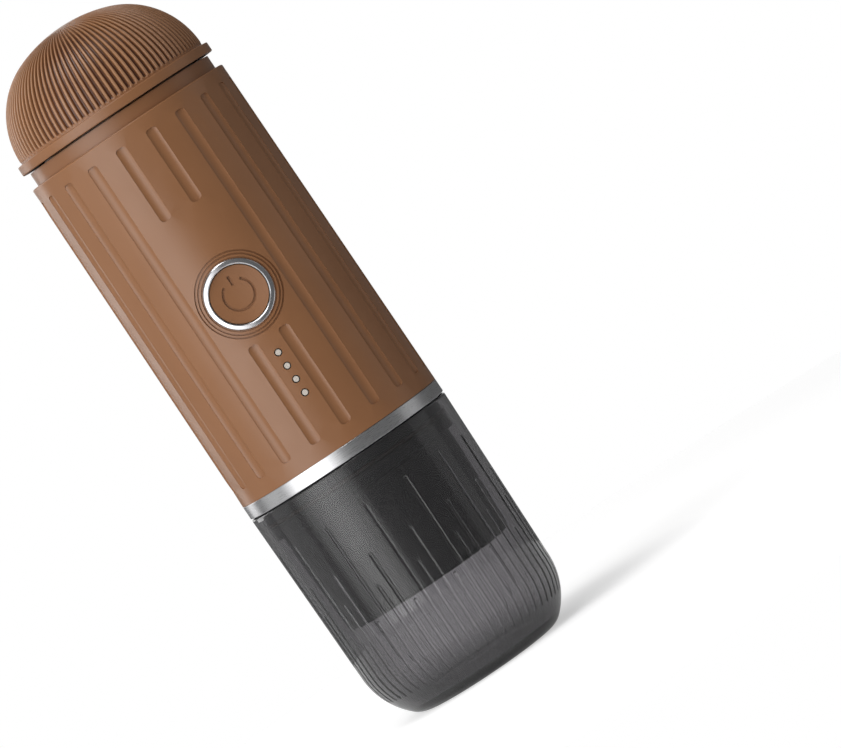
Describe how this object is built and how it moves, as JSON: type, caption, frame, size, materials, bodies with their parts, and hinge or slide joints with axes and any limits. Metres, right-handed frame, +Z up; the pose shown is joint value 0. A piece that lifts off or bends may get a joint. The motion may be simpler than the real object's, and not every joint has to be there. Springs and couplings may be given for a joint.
{
  "type": "portable electric espresso maker",
  "caption": "Upright battery espresso maker: a ribbed screw-top tank and fluted body that plug into a smoked clear cup which is also its stand.",
  "frame": {"origin": "centre of the cup's base, on the surface it stands on", "axes": "+Z up along the body, -Y towards the button (front), +X to the right seen from the front"},
  "size_m": [0.072, 0.072, 0.24],
  "materials": {
    "smoked_clear": "clear smoked grey, polished",
    "tan_plastic": "fine satin moulded",
    "band_steel": "brushed round the axis",
    "bezel_chrome": "polished",
    "dark_plastic": "satin moulded",
    "inner_plastic": "glass-filled, matte",
    "inner_steel": "drawn and wiped",
    "seal_rubber": "soft silicone",
    "hose_rubber": "translucent silicone",
    "screw_steel": "zinc plated",
    "cell_wrap": "shrink wrap",
    "tab_nickel": "nickel strip",
    "board_green": "solder mask",
    "chip_black": "moulded package",
    "motor_steel": "zinc plated can",
    "gear_plastic": "natural acetal",
    "heater_alloy": "machined",
    "foam_grey": "closed-cell foam",
    "lamp_white": "diffusing"
  },
  "bodies": {
    "cup": {"cup": "smoked_clear"},
    "machine": {"steel_band": "band_steel", "body_shell": "tan_plastic", "brew_head": "dark_plastic", "cup_seal": "seal_rubber", "shower_screen": "inner_steel", "chassis_bottom": "inner_plastic", "chassis_top": "inner_plastic", "chassis_screws": "screw_steel", "roof_screws": "screw_steel", "battery_cell_1": "cell_wrap", "battery_cell_2": "cell_wrap", "battery_cell_3": "cell_wrap", "battery_tabs": "tab_nickel", "pump_body": "inner_plastic", "pump_cover": "inner_plastic", "pump_screws": "screw_steel", "pump_motor": "motor_steel", "tank_collar": "tan_plastic", "water_tank": "inner_steel", "heater_plate": "heater_alloy", "insulation_sleeve": "foam_grey", "thermostat": "inner_steel", "temperature_probe": "inner_steel", "suction_hose": "hose_rubber", "pressure_inlet": "inner_steel", "pressure_hose": "hose_rubber", "button_bezel": "bezel_chrome", "tact_switch": "chip_black", "main_board": "board_green", "control_chip": "chip_black", "board_screws": "screw_steel", "status_lamps": "lamp_white", "light_guide": "lamp_white", "usb_socket": "inner_steel", "usb_board": "board_green"},
    "lid_carrier": {"lid_seal": "seal_rubber"},
    "tank_lid": {"lid_dome": "tan_plastic", "lid_liner": "dark_plastic"},
    "basket_carrier": {"filter_basket": "inner_steel", "basket_gasket": "seal_rubber"},
    "chamber": {"brew_chamber": "dark_plastic", "outlet_cap": "dark_plastic"},
    "button": {"button_cap": "tan_plastic", "switch_plunger": "chip_black"},
    "pump_drive": {"motor_shaft": "inner_steel", "drive_gear": "gear_plastic"},
    "pump_idler": {"idler_gear": "gear_plastic", "idler_pin": "inner_steel"},
    "usb_flap": {"usb_cover": "tan_plastic"}
  },
  "joints": [
    {"name": "machine_lift", "type": "slide", "parent": "cup", "child": "machine", "axis": [0, 0, 1], "range_m": [0, 0.1]},
    {"name": "lid_rise", "type": "slide", "parent": "machine", "child": "lid_carrier", "axis": [0, 0, 1], "range_m": [0, 0.0181]},
    {"name": "lid_turn", "type": "hinge", "parent": "lid_carrier", "child": "tank_lid", "pos_m": [0, 0, 0.21], "axis": [0, 0, 1], "range_deg": [0, 540]},
    {"name": "chamber_drop", "type": "slide", "parent": "machine", "child": "basket_carrier", "axis": [0, 0, -1], "range_m": [0, 0.0181]},
    {"name": "chamber_turn", "type": "hinge", "parent": "basket_carrier", "child": "chamber", "pos_m": [0, 0, 0.05], "axis": [0, 0, -1], "range_deg": [0, 540]},
    {"name": "button_press", "type": "slide", "parent": "machine", "child": "button", "axis": [0, 1, 0], "range_m": [0, 0.0008], "stiffness_N_per_m": 1500, "springref_m": -0.0005},
    {"name": "pump_spin", "type": "hinge", "parent": "machine", "child": "pump_drive", "pos_m": [0, -0.009, 0.104], "axis": [0, 0, 1], "continuous": true},
    {"name": "idler_spin", "type": "hinge", "parent": "machine", "child": "pump_idler", "pos_m": [0, -0.001, 0.104], "axis": [0, 0, 1], "continuous": true},
    {"name": "usb_flap_swing", "type": "hinge", "parent": "machine", "child": "usb_flap", "pos_m": [0, 0.03544, 0.107], "axis": [1, 0, 0], "range_deg": [0, 100]}
  ],
  "couplings": [
    {"joint": "lid_rise", "follows": "lid_turn", "m_per_rad": 0.0019099},
    {"joint": "chamber_drop", "follows": "chamber_turn", "m_per_rad": 0.0019099},
    {"joint": "idler_spin", "follows": "pump_spin", "ratio": -1}
  ]
}
